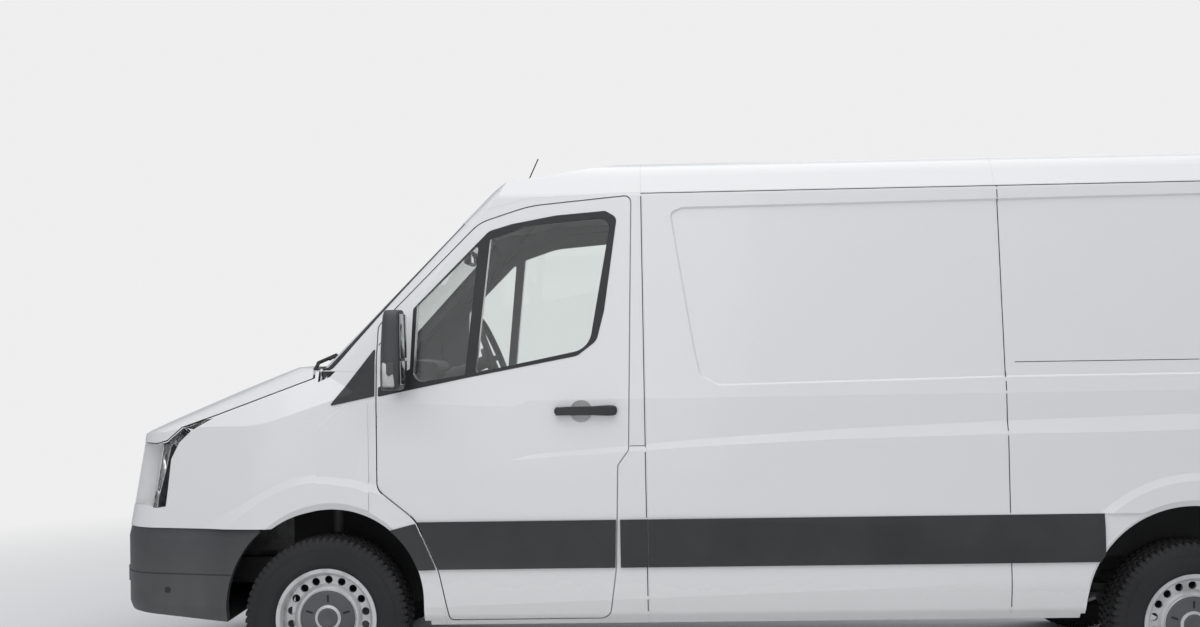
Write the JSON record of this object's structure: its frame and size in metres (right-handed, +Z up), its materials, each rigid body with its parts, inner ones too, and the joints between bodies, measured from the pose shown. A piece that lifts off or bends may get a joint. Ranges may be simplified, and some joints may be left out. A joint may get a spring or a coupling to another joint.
{
  "type": "panel van",
  "caption": "Medium-length panel van with short bonnet, raked windscreen, hinged cab and rear doors, fixed sliding side door and steel wheels",
  "frame": {"origin": "on the ground below the middle of the van's length and width", "axes": "+X from the nose to the rear doors, +Y to the van's right-hand side, +Z up"},
  "size_m": [5.925, 2.426, 2.4079],
  "materials": {
    "body_paint": "pale grey-white paint",
    "dark_plastic": "grained dark grey plastic",
    "glass": "tinted clear glass",
    "lamp_glass": "clear lamp cover",
    "wheel_steel": "silver wheel paint",
    "tyre_rubber": "black rubber",
    "chassis_steel": "black chassis paint",
    "seat_fabric": "dark grey woven cloth",
    "tank_plastic": "black tank plastic",
    "exhaust_steel": "dull steel"
  },
  "bodies": {
    "van": {"cab_frame": "body_paint", "chassis_rails": "chassis_steel", "dashboard": "dark_plastic", "engine_block": "chassis_steel", "exhaust": "exhaust_steel", "floor": "body_paint", "front_bumper": "dark_plastic", "front_suspension": "chassis_steel", "front_wings": "body_paint", "fuel_tank": "tank_plastic", "grille": "dark_plastic", "headlamps": "lamp_glass", "leaf_springs": "chassis_steel", "mid_side_panels": "body_paint", "propshaft": "chassis_steel", "radiator": "chassis_steel", "rear_axle": "chassis_steel", "rear_bumper": "dark_plastic", "rear_side_panels": "body_paint", "roof": "body_paint", "seats": "seat_fabric", "side_trims": "dark_plastic", "sliding_door": "body_paint", "tail_lamps": "lamp_glass", "windscreen": "glass"},
    "left_cab_door": {"cab_door_left": "body_paint", "door_glass_left": "glass", "door_trim_left": "dark_plastic", "mirror_left": "dark_plastic"},
    "right_cab_door": {"cab_door_right": "body_paint", "door_glass_right": "glass", "door_trim_right": "dark_plastic", "mirror_right": "dark_plastic"},
    "left_rear_door": {"rear_door_left": "body_paint", "rear_glass_left": "glass"},
    "right_rear_door": {"rear_door_right": "body_paint", "rear_glass_right": "glass"},
    "hood": {"bonnet": "body_paint"},
    "helm": {"steering_wheel": "dark_plastic"},
    "left_knuckle": {"knuckle_left": "chassis_steel"},
    "right_knuckle": {"knuckle_right": "chassis_steel"},
    "front_left_wheel": {"wheel_front_left": "wheel_steel", "tyre_front_left": "tyre_rubber"},
    "front_right_wheel": {"wheel_front_right": "wheel_steel", "tyre_front_right": "tyre_rubber"},
    "rear_left_wheel": {"wheel_rear_left": "wheel_steel", "tyre_rear_left": "tyre_rubber"},
    "rear_right_wheel": {"wheel_rear_right": "wheel_steel", "tyre_rear_right": "tyre_rubber"}
  },
  "joints": [
    {"name": "steer_left", "type": "hinge", "parent": "van", "child": "left_knuckle", "pos_m": [-1.955, -0.7, 0.35], "axis": [0, 0, 1], "range_deg": [-35, 35]},
    {"name": "steer_right", "type": "hinge", "parent": "van", "child": "right_knuckle", "pos_m": [-1.955, 0.7, 0.35], "axis": [0, 0, 1], "range_deg": [-35, 35]},
    {"name": "steering_wheel_turn", "type": "hinge", "parent": "van", "child": "helm", "pos_m": [-1.28827, -0.42, 1.4624], "axis": [0.9202, 0, 0.3915], "range_deg": [-525, 525]},
    {"name": "front_left_spin", "type": "hinge", "parent": "left_knuckle", "child": "front_left_wheel", "pos_m": [-1.955, -0.855, 0.35], "axis": [0, 1, 0], "continuous": true},
    {"name": "front_right_spin", "type": "hinge", "parent": "right_knuckle", "child": "front_right_wheel", "pos_m": [-1.955, 0.855, 0.35], "axis": [0, 1, 0], "continuous": true},
    {"name": "rear_left_spin", "type": "hinge", "parent": "van", "child": "rear_left_wheel", "pos_m": [1.71, -0.858, 0.35], "axis": [0, 1, 0], "continuous": true},
    {"name": "rear_right_spin", "type": "hinge", "parent": "van", "child": "rear_right_wheel", "pos_m": [1.71, 0.858, 0.35], "axis": [0, 1, 0], "continuous": true},
    {"name": "bonnet_hinge", "type": "hinge", "parent": "van", "child": "hood", "pos_m": [-2.02127, 0, 1.40096], "axis": [0, 1, 0], "range_deg": [0, 50]},
    {"name": "left_cab_door_hinge", "type": "hinge", "parent": "van", "child": "left_cab_door", "pos_m": [-1.77932, -0.951, 1.07834], "axis": [0.0183, 0, -0.9998], "range_deg": [0, 70]},
    {"name": "right_cab_door_hinge", "type": "hinge", "parent": "van", "child": "right_cab_door", "pos_m": [-1.77932, 0.951, 1.07834], "axis": [-0.0183, 0, 0.9998], "range_deg": [0, 70]},
    {"name": "left_rear_door_hinge", "type": "hinge", "parent": "van", "child": "left_rear_door", "pos_m": [2.93552, -0.906, 1.23977], "axis": [0.0183, 0, -0.9998], "range_deg": [0, 180]},
    {"name": "right_rear_door_hinge", "type": "hinge", "parent": "van", "child": "right_rear_door", "pos_m": [2.93552, 0.906, 1.23977], "axis": [-0.0183, 0, 0.9998], "range_deg": [0, 180]}
  ],
  "couplings": [
    {"joint": "steer_right", "follows": "steer_left", "ratio": 1},
    {"joint": "steering_wheel_turn", "follows": "steer_left", "ratio": 15}
  ]
}
